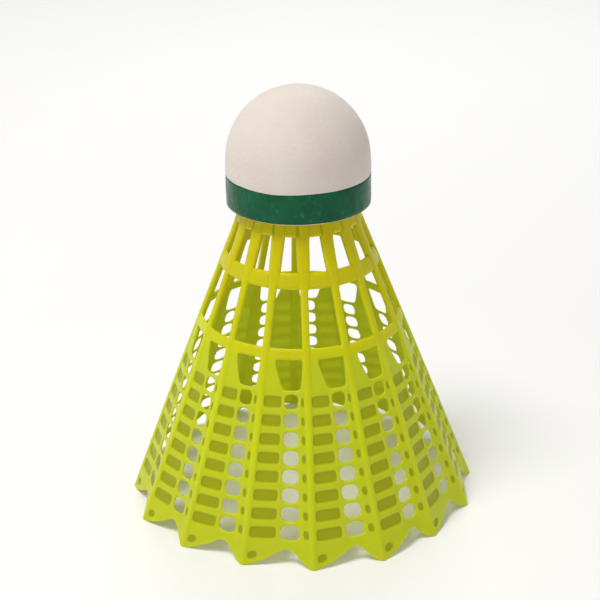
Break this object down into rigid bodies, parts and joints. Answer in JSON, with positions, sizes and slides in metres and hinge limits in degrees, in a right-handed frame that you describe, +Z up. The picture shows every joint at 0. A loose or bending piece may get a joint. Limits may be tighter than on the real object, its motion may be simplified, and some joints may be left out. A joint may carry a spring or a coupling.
{
  "type": "badminton shuttlecock",
  "caption": "Nylon badminton shuttlecock: open-mesh conical skirt with a scalloped rim, leather-covered cork dome head and a plain tape band round the foot of the head.",
  "frame": {"origin": "on the shuttlecock's axis, in the plane of the skirt's tips, on which it stands", "axes": "+Z up along the axis towards the crown of the head; one stem of the skirt lies towards -Y"},
  "size_m": [0.067, 0.067, 0.08],
  "materials": {
    "skirt_nylon": "satin, slightly translucent fluorescent yellow-green moulded nylon",
    "base_cork": "natural cork, matt",
    "nose_cork": "moulded granulated cork, matt",
    "cover_leather": "off-white synthetic leather, matt with a fine grain",
    "band_tape": "glossy green plastic tape"
  },
  "bodies": {
    "root": {"nylon_skirt": "skirt_nylon", "cork_base": "base_cork", "cork_nose": "nose_cork", "head_cover": "cover_leather", "speed_band": "band_tape"}
  },
  "joints": []
}
